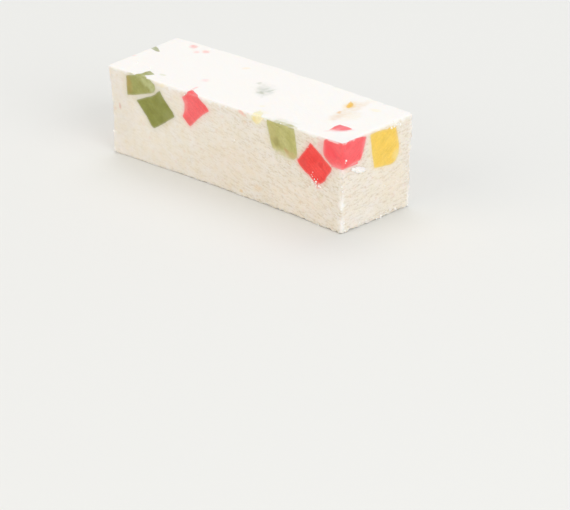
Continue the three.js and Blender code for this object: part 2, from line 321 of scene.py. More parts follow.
# Each dice: its imported node, its jelly, how dusted its top edge is if not as usual, its outlines as (face,
# depth, corners), and its stains, with a painted sheen on the olive dice, as (face, middle, half size,
# colour, strength, turn in degrees if any)
fruitPieces = {
    "oliveDiceFront": {
        "node": "dice_olive_front",
        "jelly": "olive",
        "dusted": 0.15,
        "shows": (
            ("front", 5.5, (
                (-32.8, 17.6), (-29.6, 18.4), (-27.2, 19.2), (-24.7, 20), (-23, 20.7), (-22.4, 21.8),
                (-22.6, 23), (-24, brim), (-29.4, brim), (-31.4, 23.4), (-32.8, 22.9),
            )),
            ("top", 1.2, (
                (-30.4, -pastY), (-29.4, -12.7), (-28.7, -11.6), (-28.8, -10.4), (-28.3, -9.1),
                (-27.1, -9.6), (-25.5, -10.2), (-26.1, -11.4), (-27, -12.3), (-25.6, -13), (-24.8, -pastY),
            )),
        ),
        "stainsAndPaintedSheen": (
            ("front", (-32.3, 20.6), (1.5, 3.4), "#b59b56", 0.75),
            # painted sheen: two lighter green patches at the dice's upper right
            ("front", (-26.4, 22.9), (3.6, 1.3), "#c3c88e", 0.75, -22),
            ("front", (-23.8, 21.8), (1.6, 2.8), "#c3c994", 0.75, 30),
            ("front", (-25.3, 20.9), (0.3, 1.2), "#97994c", 0.6, 20),
            ("top", (-29.6, -12.6), (1.6, 1.2), "#b5b97e", 0.6),
            ("top", (-26.6, -12.4), (1.9, 1.2), "#c6cc9c", 0.8),
            ("top", (-26.8, -10.2), (2.4, 1.4), "#bcc49e", 0.7),
        ),
    },
    "greenDiceFront": {
        "node": "dice_green_front",
        "jelly": "green",
        "shows": (
            ("front", 5.5, (
                (-29.6, 16.9), (-26.2, 18.6), (-23.6, 19.7), (-20.8, 21.9), (-19.6, 20.1), (-16.8, 17.2),
                (-16.1, 15.9), (-17.8, 14.8), (-20.7, 12.7), (-22.7, 11.4), (-23.9, 10.6), (-24.7, 10.9),
                (-26.4, 13.4),
            )),
        ),
        "stainsAndPaintedSheen": (
            ("front", (-27.6, 16.9), (2, 1.4), "#868a38", 0.5, 30),
            ("front", (-18.4, 15.6), (2.4, 1.6), "#989b62", 0.4, 30),
            ("front", (-20.6, 20.6), (1.2, 1.6), "#9fa268", 0.5),
        ),
    },
    "coralDiceFront": {
        "node": "dice_coral_front",
        "jelly": "coral",
        "dusted": 0.2,
        "shows": (
            ("front", 5.5, (
                (-12.9, 22.3), (-12.1, 22.8), (-10.8, brim), (-7.1, brim), (-6.1, 23.1), (-4.7, 22.3),
                (-3.5, 20.9), (-5.6, 19.5), (-8.1, 17.4), (-10, 15.5), (-10.9, 14.7), (-11.7, 15.3),
                (-13.3, 16.9), (-12.6, 18.3), (-12.3, 20.5),
            )),
            ("top", 1, (
                (-11.1, -pastY), (-11, -12.8), (-10.8, -11.9), (-10.4, -11.9), (-7.1, -13.5),
                (-7.1, -pastY),
            )),
        ),
        "stainsAndPaintedSheen": (
            ("front", (-12.1, 20.6), (1.1, 2.6), "#fb9a97", 0.6),
            ("front", (-4.8, 21.6), (1, 1.8), "#fb5350", 0.55, 40),
            ("front", (-11.3, 16), (1.6, 1.3), "#e9685f", 0.5),
            ("top", (-10.8, -12.4), (1.2, 1), "#fb8c88", 0.4),
        ),
    },
    "yellowChipFront": {
        "node": "chip_yellow_front",
        "jelly": "paleYellow",
        "shows": (
            ("front", 2.5, (
                (10.7, 23.6), (11.2, brim), (15, brim), (14.2, 23.3), (13.3, 22.2), (12.3, 21.6),
                (11.3, 22.1), (10.6, 22.5),
            )),
            ("top", 0.8, ((11.2, -pastY), (10.9, -12.2), (11.2, -10.7), (13, -11.4), (14.6, -pastY))),
        ),
        "stainsAndPaintedSheen": (
            ("front", (12, 22.8), (1.4, 1.1), "#f5e5ac", 0.75),
            ("front", (11.5, 22.9), (0.6, 0.8), "#f3dd88", 0.7),
            ("top", (12, -11.6), (2.6, 1.8), "#f1edd0", 0.8),
        ),
    },
    "paleGreenDiceFront": {
        "node": "dice_pale_green_front",
        "jelly": "paleGreen",
        "dusted": 0.4,
        "shows": (
            ("front", 5.5, (
                (15.7, 22.9), (15.8, brim), (24.7, brim), (24.9, 22.8), (25.2, 20.8), (25.4, 17.4),
                (25.3, 16.3), (24, 15.4), (21.9, 15.3), (19.9, 15.5), (17.9, 16.1), (17.1, 16.7),
                (16.6, 18.3), (16.1, 20.9),
            )),
        ),
        "stainsAndPaintedSheen": (
            ("front", (19.6, 15), (5.6, 2.3), "#e6dcc4", 0.95, -6),
            ("front", (18.6, 18.7), (1.4, 1.3), "#8f8646", 0.8),
            ("front", (19, 18.8), (2.4, 2), "#a89e5c", 0.5),
            ("front", (17.4, 20.6), (1.6, 3.6), "#bbb070", 0.5),
            ("front", (21.9, 17.3), (1.2, 0.7), "#c29a6a", 0.75, -30),
            ("front", (23.6, 16.5), (2.2, 1.3), "#ccb07c", 0.7),
            ("front", (19.4, 23.3), (1.5, 0.4), "#949049", 0.6, -12),
            ("front", (23.9, 23.7), (1.2, 0.4), "#949049", 0.6),
        ),
    },
    "redDiceFront": {
        "node": "dice_red_front",
        "jelly": "red",
        "shows": (
            ("front", 5.5, (
                (29.7, 21.6), (30.9, 20.7), (32.8, 19.4), (34.3, 18.1), (36.4, 16.6), (36, 15.4),
                (34.8, 14.1), (34.1, 12.6), (33, 11.7), (31.5, 10.8), (30.4, 11.5), (29, 12.7),
                (27.5, 13.4), (26, 14.6), (25.2, 15.7), (26.1, 16.7), (27.5, 18.5), (28.6, 20.1),
            )),
        ),
        "stainsAndPaintedSheen": (
            ("front", (27.3, 15.8), (1.4, 1.7), "#dd4742", 0.55),
            ("front", (32.8, 16.4), (1, 0.9), "#e23633", 0.6),
            ("front", (31.5, 11.1), (1.1, 0.7), "#f28f88", 0.5),
        ),
    },
    "pinkDiceCorner": {
        "node": "dice_pink_corner",
        "jelly": "pink",
        "shows": (
            ("front", 5.5, (
                (34, 23.2), (34.8, brim), (pastX, brim), (pastX, 17.2), (39, 17.1), (37.4, 17.1),
                (35.9, 17.4), (34.7, 18.4), (33.8, 19.3), (33.6, 20.4), (33.7, 21.5),
            )),
            ("near", 4, (
                (-pastY, 17.1), (-11.3, 17.1), (-10.1, 17.4), (-7.9, 17.7), (-6.2, 17.8), (-5.5, 18.9),
                (-5, 20.6), (-4.5, 22.2), (-4.3, 23.4), (-6.2, 23.8), (-7.7, brim), (-pastY, brim),
            )),
            ("top", 2.5, (
                (32, -9), (31.5, -6.2), (31.7, -4.5), (34.5, -4.3), (35.9, -4.5), (35.4, -5.8),
                (34.7, -6.8), (33.6, -7.8),
            )),
        ),
        "stainsAndPaintedSheen": (
            ("front", (37.4, 20), (0.9, 0.8), "#f4485a", 0.55),
            ("front", (35.9, 20.8), (2.3, 2.6), "#ff4c54", 0.8),
            ("front", (38.4, 17.4), (3.4, 1), "#ff8e94", 0.65),
            ("front", (33.9, 21.4), (0.7, 2.2), "#fd8488", 0.5),
            ("near", (-10.6, 22.6), (1.2, 1), "#f9505a", 0.45),
            ("near", (-9.4, 17.2), (3.8, 0.7), "#fd959c", 0.5, 6),
            ("near", (-5.2, 20.6), (0.9, 2.8), "#fd8c96", 0.6, -8),
            ("top", (33.4, -6.2), (3.4, 3.4), "#f98e98", 0.6),
            ("top", (31.9, -5.2), (1.2, 1.6), "#ee6e7e", 0.6),
            ("top", (32.6, -8.3), (1.7, 0.9), "#fbcfd2", 0.85, 60),
        ),
    },
    "yellowDiceEnd": {
        "node": "dice_yellow_end",
        "jelly": "yellow",
        "shows": (
            ("near", 5.5, (
                (-2.8, 23.4), (-0.2, 23.6), (3.2, 23.1), (3.9, 23.4), (6.3, 23.1), (7.3, 19.8), (7.7, 17.6),
                (7.6, 15.4), (6.5, 13.9), (5.1, 13.4), (1.5, 13.7), (-1.1, 14.1), (-2, 17.8), (-2.7, 22),
            )),
        ),
        "stainsAndPaintedSheen": (
            ("near", (6.8, 15.4), (1.9, 2.6), "#f5de98", 0.7, 20),
            ("near", (3.2, 23.3), (1.5, 0.5), "#eebb38", 0.6),
            ("near", (0.4, 15.6), (1.8, 1.4), "#f3c94a", 0.5),
            ("near", (7, 20.2), (0.8, 2.6), "#f6d488", 0.5, 8),
        ),
    },
    "greenDiceFar": {
        "node": "dice_green_far",
        "jelly": "green",
        "shows": (
            ("far", 5.5, ((-9.2, 17.4), (-3.9, 15.9), (-2.3, 22.8), (-4.4, brim), (-5, brim), (-8, 22.6))),
            ("top", 2.5, (
                (-pastX, 2.9), (-39.9, 2.6), (-38.7, 2.4), (-37.1, 1.9), (-36.2, 2.3), (-38.2, 3.8),
                (-40, 4.8), (-pastX, 5),
            )),
        ),
        "stainsAndPaintedSheen": (
            ("top", (-38.6, 3.6), (3, 2), "#c6ccae", 0.75, -30),
            ("top", (-39.8, 2.9), (1.2, 0.9), "#d6dac8", 0.8),
            ("far", (-3.4, 17.2), (1.6, 2.4), "#9fa268", 0.5),
        ),
    },
    "redDiceFar": {
        "node": "dice_red_far",
        "jelly": "red",
        "shows": (("far", 5.5, ((2.4, 13.6), (7.2, 10.3), (9.9, 15.8), (5, 19.4))),),
        "stainsAndPaintedSheen": (("far", (8, 12.4), (1.6, 2), "#f28f88", 0.5, 30),),
    },
    "orangeChipTop": {
        "node": "chip_orange_top",
        "jelly": "orange",
        "shows": (
            ("top", 2.5, ((23.8, 8.4), (24.6, 6.3), (25.5, 4.6), (26.6, 4.6), (26.6, 5.8), (25.8, 7.3))),
        ),
        "stainsAndPaintedSheen": (
            ("top", (24.2, 7.9), (1, 1), "#f8dba4", 0.6),
            ("top", (25.6, 5.9), (0.8, 1.3), "#f7b93a", 0.8, -20),
        ),
    },
    "redDiceBack": {
        "node": "dice_red_back",
        "jelly": "red",
        "shows": (("back", 5.5, ((-30.9, 14), (-24.6, 12.2), (-22.6, 18.9), (-29.3, 20.9))),),
        "stainsAndPaintedSheen": (("back", (-24, 13.4), (1.8, 1.4), "#dd4742", 0.5),),
    },
    "yellowDiceBack": {
        "node": "dice_yellow_back",
        "jelly": "yellow",
        "shows": (("back", 5.5, ((-16.6, 13.9), (-13.6, 14.4), (-14.7, brim), (-19, brim), (-18.4, 17.8))),),
        "stainsAndPaintedSheen": (("back", (-15, 14.2), (2, 1.6), "#f5de98", 0.6),),
    },
    "greenDiceBack": {
        "node": "dice_green_back",
        "jelly": "green",
        "shows": (("back", 5.5, ((-7.6, 14.9), (-2.3, 9.6), (3.1, 14.5), (-1.9, 20.2))),),
        "stainsAndPaintedSheen": (("back", (-2.2, 9.8), (4.4, 2.2), "#cfcba6", 0.75),),
    },
    "coralDiceBack": {
        "node": "dice_pink_back",
        "jelly": "coral",
        "shows": (("back", 5.5, ((8.2, 17.2), (14.9, 16.2), (16.1, brim), (7, brim))),),
        "stainsAndPaintedSheen": (("back", (8, 18.6), (1.4, 3.6), "#fb9a97", 0.6),),
    },
    "oliveDiceBack": {
        "node": "dice_olive_back",
        "jelly": "olive",
        "shows": (("back", 5.5, ((21.7, 18.9), (23.8, 13.4), (28, 16.4), (30.3, 20.8), (25.8, 19.4))),),
        "stainsAndPaintedSheen": (("back", (29.2, 19.8), (1.8, 1.8), "#c6cb9c", 0.6),),
    },
    "yellowChipBack": {
        "node": "chip_yellow_back",
        "jelly": "yellow",
        "shows": (("back", 2.5, ((32, 8.1), (35.4, 8.9), (34.6, 11.6), (31.6, 11))),),
        "stainsAndPaintedSheen": (("back", (34.6, 10.8), (1.4, 1.4), "#f5de98", 0.6),),
    },
}
# How round corners are, and at most what share of a side, and how far a form runs on past the face
outlineFinish = {"soft": 0.35, "softMost": 0.4, "step": 0.35, "waver": 0.06, "waverSize": 0.9, "past": 3}


# A dice's outline, anticlockwise, with its corners rounded and its sides a little wavy, as points [right, up]
def fineOutline(corners, seed):
    corners = np.array(corners, float)
    after = np.roll(corners, -1, 0)
    if (corners[:, 0] * after[:, 1] - after[:, 0] * corners[:, 1]).sum() < 0:
        corners = corners[::-1]
    rounded = []
    for before, corner, after in zip(np.roll(corners, 1, 0), corners, np.roll(corners, -1, 0)):
        ends = []
        for side in (before - corner, after - corner):
            share = min(outlineFinish["softMost"], outlineFinish["soft"] / np.linalg.norm(side))
            ends.append(corner + side * share)
        for t in (0, 0.33, 0.67, 1):
            rounded.append((1 - t) ** 2 * ends[0] + 2 * t * (1 - t) * corner + t**2 * ends[1])
    points = []
    for start, finish in zip(rounded, np.roll(rounded, -1, 0)):
        count = max(1, round(np.linalg.norm(finish - start) / outlineFinish["step"]))
        points += [start + (finish - start) * k / count for k in range(count)]
    points = np.array(points)
    flat = np.c_[points / outlineFinish["waverSize"], np.zeros(len(points))]
    return points + outlineFinish["waver"] * np.stack([noise(flat, seed + k) for k in (0, 1)], 1)


# The straight-sided form behind an outline, from its hidden back to past the face
def cuttingForm(name, face, depth, outline):
    right, up, out, reach = faceViews[face]
    rims = []
    for level in (reach - depth, reach + outlineFinish["past"]):
        rims.append(outline[:, :1] * right + outline[:, 1:] * up + np.array(out) * level + shift)
    count = len(outline)
    ring = np.arange(count)
    sides = np.stack((ring, np.roll(ring, -1), np.roll(ring, -1) + count, ring + count), 1).tolist()
    mesh = bpy.data.meshes.new(name)
    faces = sides + [ring[::-1].tolist(), (ring + count).tolist()]
    mesh.from_pydata((np.concatenate(rims) * metre).tolist(), [], faces)
    return newObject(name, mesh)


def removePiece(piece):
    mesh = piece.data
    bpy.data.objects.remove(piece)
    bpy.data.meshes.remove(mesh)


# The piece's mesh with its modifiers applied, as a plain mesh
def settle(piece):
    mesh = bpy.data.meshes.new_from_object(piece.evaluated_get(bpy.context.evaluated_depsgraph_get()))
    piece.modifiers.clear()
    old = piece.data
    piece.data = mesh
    bpy.data.meshes.remove(old)
    mesh.name = piece.name


# Cuts, joins or intersects a piece with another
def combine(piece, other, operation):
    change = piece.modifiers.new("combine", "BOOLEAN")
    change.object = other
    change.operation = operation
    change.solver = "MANIFOLD"
    settle(piece)


pockets = None
for index, (name, fruit) in enumerate(fruitPieces.items()):
    piece = None
    fruit["outlines"] = []
    for part, (face, depth, corners) in enumerate(fruit["shows"]):
        outline = fineOutline(corners, 100 + 10 * index + part)
        fruit["outlines"].append((face, outline))
        form = cuttingForm("form" if piece else name, face, depth, outline)
        if piece is None:
            piece = form
        else:
            combine(piece, form, "UNION")
            removePiece(form)
    if pockets is None:
        pockets = newObject("pockets", piece.data.copy())
    else:
        combine(pockets, piece, "UNION")
    combine(piece, jellyBar, "INTERSECT")
    fruit["piece"] = piece
combine(foamBar, pockets, "DIFFERENCE")
removePiece(pockets)
removePiece(jellyBar)
print("fruit let in:", len(fruitPieces), "pieces")

# A ragged white flake that clings to the near end. Its lumps are (scale, share)
flake = {
    "face": "near",
    "middle": (-7.1, 15.7),
    "half": (2.5, 0.68, 0.6),
    "turn": -21,
    "sunk": 0.12,
    "ragged": 0.3,
    "lumps": ((1.7, 1), (4, 0.7), (8, 0.4)),
}


def addFlake():
    shape = bmesh.new()
    bmesh.ops.create_icosphere(shape, subdivisions=5, radius=1)
    ball = np.array([vertex.co for vertex in shape.verts])
    faces = [[vertex.index for vertex in face.verts] for face in shape.faces]
    shape.free()
    rough = sum(share * noise(ball * scale, 90 + k) for k, (scale, share) in enumerate(flake["lumps"]))
    lump = ball * (1 + flake["ragged"] * rough[:, None]) * flake["half"]
    right, up, out, reach = faceViews[flake["face"]]
    turn = np.array(Matrix.Rotation(radians(flake["turn"]), 2))
    flat = lump[:, :2] @ turn.T + flake["middle"]
    placed = flat[:, :1] * right + flat[:, 1:] * up + (lump[:, 2:] + reach - flake["sunk"]) * out + shift
    form = newPiece("flake", placed, faces)
    combine(foamBar, form, "UNION")
    removePiece(form)


addFlake()

# Colour that shows on the foam without a piece of its own, given as the fruit's stains are: stains, broad
# tints, and a patch of painted shade
foamStainsAndPaintedShade = (
    ("top", (2.8, 0.2), (3.6, 5), "#e6e7e2", 0.7, 43),  # a dark dice that lies just under the top
    ("top", (3, -0.6), (2.4, 3.6), "#d2d4cc", 0.7, 43),
    ("top", (3.7, -2), (1.6, 0.6), "#bfc2b3", 0.85, -28),
    ("top", (2.4, -2.3), (1, 0.6), "#c9ccc0", 0.75, -28),
    ("top", (2.6, 0.5), (1.8, 0.5), "#d0d3ca", 0.75, 84),
    ("top", (4.4, 0.6), (1.9, 0.5), "#cdd0c6", 0.75, 84),
    ("top", (5.4, -3.9), (0.6, 1.4), "#e3e5df", 0.6, 43),
    ("top", (-1.2, 2.3), (0.8, 1), "#cfd3c7", 0.8, 43),
    ("top", (-23.8, -9.1), (1.3, 0.6), "#dcdcc2", 0.75),
    ("top", (20.4, -12.4), (4.4, 1.8), "#dcdecb", 0.6, 4),
    ("top", (20.8, -13.2), (4.4, 0.8), "#b0b280", 0.75, 4),
    ("top", (23, -12.9), (2.6, 0.9), "#b2b074", 0.75),
    ("near", (10.6, 14), (3.6, 9), "#efeae6", 0.15),
    ("near", (-5, 3), (6, 3.6), "#f6f4f2", 0.35),
    ("front", (20.6, 24), (4.6, 0.45), "#b9bf97", 0.75),
    ("top", (-32.1, 10.5), (1.4, 1.6), "#f4b2ae", 0.95, 43),
    ("top", (-28.8, 8.3), (1, 1.1), "#f9d4d0", 0.8, 43),
    ("top", (-27.1, 10), (1.4, 1.4), "#f7c6c2", 0.85, 43),
    ("top", (-12.9, -5), (1.3, 1.3), "#f9dad6", 0.75, 43),
    ("top", (-39.4, -4), (0.8, 0.9), "#f9d6d2", 0.6),
    ("top", (-11, -10.8), (0.5, 1.9), "#f6b9b9", 0.7, 5),
    ("top", (-11, 7.9), (1.2, 1), "#fae6cc", 0.75, 43),
    ("top", (9.6, -8.3), (1, 0.8), "#f6efd6", 0.6),
    ("top", (12.2, -11.2), (1.9, 1.4), "#f8f2d4", 0.5),
    ("top", (27.9, 1.8), (2.3, 7), "#eee0cf", 0.7, 3),
    ("top", (28.2, -1.6), (1.3, 3.2), "#ecdbca", 0.7),
    ("top", (30.6, 1), (2.8, 4), "#f3eadb", 0.6),
    ("top", (27, 7.6), (1.8, 4.2), "#efdfc9", 0.75, -6),
    ("top", (25.6, 6), (1.8, 3), "#f6d596", 0.75, 20),
    ("top", (26.6, 1), (1.1, 0.6), "#e6b060", 0.75, -48),
    ("top", (32.3, 7.9), (2, 1.1), "#f9f1d4", 0.6),
    ("top", (34.2, -7.3), (3.4, 0.9), "#f8b4b8", 0.8, 48),
    ("front", (-35.8, 13.7), (0.5, 1.1), "#d99c8a", 0.8, 12),
    ("front", (-37.6, 12.6), (0.8, 0.6), "#e6c0b2", 0.5),
    ("front", (7.6, 23.5), (1.4, 0.7), "#f3bdae", 0.9, -25),
    ("top", (-30.9, -13.5), (1.4, 0.5), "#a9ac6e", 0.7),
    ("front", (-24.2, 23.9), (1.8, 0.4), "#c4cb9e", 0.8),
    ("front", (-31, 23.9), (1.4, 0.4), "#a9ac6e", 0.8),
    ("front", (-20.2, 23.6), (2.4, 0.7), "#f3e6be", 0.6),
    ("front", (18.3, 14.4), (0.7, 0.7), "#d3d0a4", 0.5),
    ("front", (5.4, 1.6), (0.7, 0.6), "#e3c078", 0.8),
    ("front", (11.3, 4), (1.8, 1.4), "#ecd2ac", 0.5),
    ("front", (32.8, 21), (1.6, 3), "#f4bdb9", 0.6),
    ("front", (31.8, 10.5), (1, 0.8), "#ea8e80", 0.6),
    ("front", (26.6, 15.9), (0.6, 1.4), "#d8806a", 0.7),
    ("near", (-9.2, 16.7), (3.4, 0.8), "#f6d8d4", 0.35, 4),
    # broad tints: warmer low on the near end and on the front's middle, lighter and warmer low towards the
    # front's near end
    ("near", (5.4, 8.4), (6, 5.6), "#f0e0c5", 0.35),
    ("front", (4, 9), (15, 7), "#eeddc8", 0.3, 10),
    ("front", (25, 5), (13, 5), "#feeedc", 0.3, 4),
    # painted shade: the far part of the front made greyer and darker
    ("front", (-36, 12), (7, 14), "#d6d1cc", 0.25),
    ("back", (-6, 7), (0.8, 0.6), "#e3c078", 0.7),
    ("back", (19, 9), (0.7, 0.9), "#d99c8a", 0.7),
    ("far", (-3, 7), (0.8, 0.7), "#e6c0b2", 0.7),
)
# Small flecks: spacing, share of the cells and radius
flecks = {"cells": (3.4, 0.35, 0.6), "strength": 0.2, "colours": ("#dcc08c", "#e6b8a4", "#d2cfa6")}
tint = {"strength": 0.28, "reach": 0.6}  # what the fruit gives off into the foam
# Foam smeared thinly over the jelly's rim, less so where the top's dust begins
film = {"colour": "#f4ece0", "strength": 0.22, "reach": 0.25, "belowTop": (0.2, 0.6)}
# The rim of a stain or of painted light is ragged by layers of noise, and its grain is given as size, middle
# and spread
stainAndPaintedLightRim = {"ragged": ((1.1, 1), (0.45, 0.7)), "share": 0.22, "fade": (1.15, 0.25), "grain": (0.5, 0.85, 0.4)}
# How deep behind a face and how proud of it points still belong to it, and how faces blend at an edge
faceReach = {"deep": (1.6, 1.2), "proud": (-0.35, -0.2), "blend": 0.25}


def linear(code):  # an sRGB hex colour as linear values
    parts = [int(code[k : k + 2], 16) / 255 for k in (1, 3, 5)]
    return tuple(p / 12.92 if p <= 0.04045 else ((p + 0.055) / 1.055) ** 2.4 for p in parts) + (1.0,)


def setField(mesh, name, values):
    single = values.ndim == 1
    field = mesh.attributes.new(name, "FLOAT" if single else "FLOAT_COLOR", "POINT")
    field.data.foreach_set("value" if single else "color", values.astype(np.float32).ravel())


# A mesh's points, and how deep each lies behind each face of the true block
def surfaceOf(mesh):
    points = pointsOf(mesh)
    block = trueBlock(points)
    depths = {face: reach - block @ np.array(out) for face, (_, _, out, reach) in faceViews.items()}
    return {"points": points, "block": block, "depths": depths}


# Which points belong to a face, and where on it they lie
def onFace(surface, face):
    right, up, _, _ = faceViews[face]
    depth = surface["depths"][face]
    others = np.minimum.reduce([other for name, other in surface["depths"].items() if name != face])
    there = smoothStep(depth, *faceReach["deep"]) * smoothStep(depth, *faceReach["proud"])
    there *= smoothStep(others - depth, -faceReach["blend"], faceReach["blend"])
    local = surface["points"] - shift
    return there, np.stack((local @ np.array(right), local @ np.array(up)), 1)


# How far points on a face are from an outline
def toOutline(flat, outline):
    nearest = np.full(len(flat), 1e3)
    for start, finish in zip(outline, np.roll(outline, -1, 0)):
        edge = finish - start
        share = np.clip((flat - start) @ edge / max(edge @ edge, 1e-9), 0, 1)
        nearest = np.minimum(nearest, np.linalg.norm(flat - start - share[:, None] * edge, axis=1))
    return nearest


# Layers colours over each other on a mesh's points, and keeps them as its colour attribute, which holds
# painted light as well as stains
class StainAndPaintedLight:
    def __init__(self, mesh):
        self.mesh = mesh
        self.surface = surfaceOf(mesh)
        points = self.surface["points"]
        self.ragged = layeredNoise(points, stainAndPaintedLightRim["ragged"], 81)
        size, middle, spread = stainAndPaintedLightRim["grain"]
        self.grainy = np.clip(middle + spread * noise(points / size, 87), 0, 1)
        self.colour = np.ones((len(points), 3)) * linear(film["colour"])[:3]
        self.cover = np.zeros(len(points))

    def layer(self, code, amount):
        cover = amount + self.cover * (1 - amount)
        share = np.divide(amount, cover, out=np.zeros(len(cover)), where=cover > 0)[:, None]
        self.colour = self.colour * (1 - share) + share * linear(code)[:3]
        self.cover = cover

    def patch(self, face, middle, half, code, strength, turn=0):
        there, flat = onFace(self.surface, face)
        turned = (flat - middle) @ np.array(Matrix.Rotation(radians(turn), 2))
        reach = np.linalg.norm(turned / half, axis=1) + stainAndPaintedLightRim["share"] * self.ragged
        self.layer(code, there * strength * self.grainy * smoothStep(reach, *stainAndPaintedLightRim["fade"]))

    def keep(self):
        setField(self.mesh, "stainAndPaintedLight", np.c_[self.colour, self.cover])


# Starch dust lies on the top, reaches unevenly over its edges, and clings to the other edges
starch = {
    "colour": "#f6f4f1",
    "ragged": ((1.5, 1), (0.55, 0.6), (6, 0.5)),
    "top": (0.5, 0.6, 0.3),  # its reach over the edges: middle, spread and least
    "topFade": (-0.45, 0.3),
    "onFruit": (0.9, 0.5),  # its usual strength over a dice's top edge, and its share of the reach
    "upright": (1.8, 0.4),  # reach, share of the noise
    "patches": (2.6, 0.4, 1.2),  # size, middle, spread
    "foot": (0.4, 0.15, 0.75),  # reach, share of the noise, strength
    "thick": 0.1,  # within this of an edge it is at its thickest
    "flake": (0.14, 0.2),  # how far it stands out
    "fills": 0.75,  # how much of the relief it fills
}


def topDust(block, share=1.0):
    middle, spread, least = starch["top"]
    reach = np.maximum(middle + spread * layeredNoise(block, starch["ragged"], 83), least)
    low, high = starch["topFade"]
    return smoothStep(share * reach - (height - block[:, 2]), low * share, high * share)


def paintFruitStainsAndSheen(fruit):
    stainAndPaintedLight = StainAndPaintedLight(fruit["piece"].data)
    for patch in fruit["stainsAndPaintedSheen"]:
        stainAndPaintedLight.patch(*patch)
    usual, share = starch["onFruit"]
    dust = topDust(stainAndPaintedLight.surface["block"], share)
    for face, outline in fruit["outlines"]:
        there, flat = onFace(stainAndPaintedLight.surface, face)
        rim = np.exp(-((toOutline(flat, outline) / film["reach"]) ** 2))
        if face != "top":
            rim *= smoothStep(stainAndPaintedLight.surface["depths"]["top"], *film["belowTop"])
            stainAndPaintedLight.layer(starch["colour"], there * fruit.get("dusted", usual) * dust)
        stainAndPaintedLight.layer(film["colour"], there * film["strength"] * rim)
    stainAndPaintedLight.keep()


# The jelly's colours: where it is clear, and where it is deep
jellyColours = {
    "green": ("#909445", "#868937"),
    "olive": ("#a5a760", "#9b9c51"),
    "paleGreen": ("#c7c481", "#bbb76e"),
    "red": ("#fa4c46", "#f43f3a"),
    "coral": ("#fe6c70", "#fe6064"),
    "pink": ("#ff686c", "#ff5d62"),
    "yellow": ("#f9d362", "#f7ce56"),
    "paleYellow": ("#faf3cd", "#f8eebd"),
    "orange": ("#fcd06a", "#f7c252"),
}


def paintFoamStainsAndShade():
    stainAndPaintedLight = StainAndPaintedLight(foamBar.data)
    for face, axes in (("front", (0, 2)), ("back", (0, 2)), ("near", (1, 2)), ("far", (1, 2))):
        there = onFace(stainAndPaintedLight.surface, face)[0]
        u, v = (stainAndPaintedLight.surface["points"][:, axis] for axis in axes)
        for k, code in enumerate(flecks["colours"]):
            fleck = spots(u, v, *flecks["cells"], 300 + 20 * k + len(face))
            stainAndPaintedLight.layer(code, there * flecks["strength"] * fleck)
    for fruit in fruitPieces.values():
        for face, outline in fruit["outlines"]:
            if face == "top":
                continue
            there, flat = onFace(stainAndPaintedLight.surface, face)
            halo = tint["strength"] * np.exp(-toOutline(flat, outline) / tint["reach"])
            stainAndPaintedLight.layer(jellyColours[fruit["jelly"]][0], there * halo)
    for patch in foamStainsAndPaintedShade:
        stainAndPaintedLight.patch(*patch)
    stainAndPaintedLight.keep()


def dustFoam():
    mesh = foamBar.data
    block = trueBlock(pointsOf(mesh))
    ragged = layeredNoise(block, starch["ragged"][:2], 83)
    edges = toEdges(block)
    size, middle, spread = starch["patches"]
    patchy = np.clip(middle + spread * noise(block / size, 86), 0, 1)
    reach, share = starch["upright"]
    upright = patchy * smoothStep(edges["upright"] + share * ragged, reach, starch["thick"])
    reach, share, strength = starch["foot"]
    foot = strength * smoothStep(edges["foot"] + share * ragged, reach, starch["thick"])
    toEnd, toSide = halfSize[0] - abs(block[:, 0]), halfSize[1] - abs(block[:, 1])
    dust = np.maximum.reduce((topDust(block), upright, foot, smoothStep(-toEnd, *starch["flake"])))
    setField(mesh, "dust", dust)
    setField(mesh, "relief", (1 - starch["fills"] * dust) * calmed(block[:, 0]))
    setField(mesh, "onEnd", (toEnd < toSide).astype(float))


endDepth = 0.8  # jelly no deeper than this behind an end is lined as the end is
for fruit in fruitPieces.values():
    paintFruitStainsAndSheen(fruit)
    mesh = fruit["piece"].data
    setField(mesh, "onEnd", (halfSize[0] - abs(pointsOf(mesh)[:, 0]) < endDepth).astype(float))
paintFoamStainsAndShade()
dustFoam()
print("stained and dusted")


# Adds a node with its settings, which are attributes or inputs, and its links, and gives its outputs. A kind
# without "Node" in it, such as Mix, is a shader's
def addNode(tree, kind, settings=None, links=None):
    node = tree.nodes.new(kind if "Node" in kind else "ShaderNode" + kind)
    for name, value in (settings or {}).items():
        if isinstance(name, str) and hasattr(node, name):
            setattr(node, name, value)
        else:
            node.inputs[name].default_value = value
    for name, socket in (links or {}).items():
        tree.links.new(socket, node.inputs[name])
    return node.outputs


def field(tree, name, output="Fac"):
    return addNode(tree, "Attribute", {"attribute_name": name})[output]


# Noise from 0 to 1 whose features have this size in millimetres, turned by these degrees
def grain(tree, size, turn=(0, 0, 0), detail=2.0, low=0.35, high=0.65):
    settings = {
        "vector_type": "TEXTURE",
        "Rotation": tuple(radians(angle) for angle in turn),
        "Scale": tuple(part * metre for part in size),
    }
    place = addNode(tree, "TexCoord")["Object"]
    mapped = addNode(tree, "Mapping", settings, {"Vector": place})[0]
    settings = {"Scale": 1.0, "Detail": detail, "Roughness": 0.6}
    clouds = addNode(tree, "TexNoise", settings, {"Vector": mapped})["Fac"]
    return addNode(tree, "MapRange", {"From Min": low, "From Max": high}, {"Value": clouds})[0]


# One grain on the long sides and another on the ends
def facedGrain(tree, side, end):
    return addNode(tree, "Mix", {}, {0: field(tree, "onEnd"), 2: side, 3: end})[0]


def newMaterial(name):
    material = bpy.data.materials.new(name)
    material.use_nodes = True
    material.node_tree.nodes.clear()
    return material, material.node_tree


def plainMaterial(name, settings):
    material, tree = newMaterial(name)
    shader = addNode(tree, "BsdfPrincipled", settings)
    addNode(tree, "OutputMaterial", None, {"Surface": shader[0]})
    return material


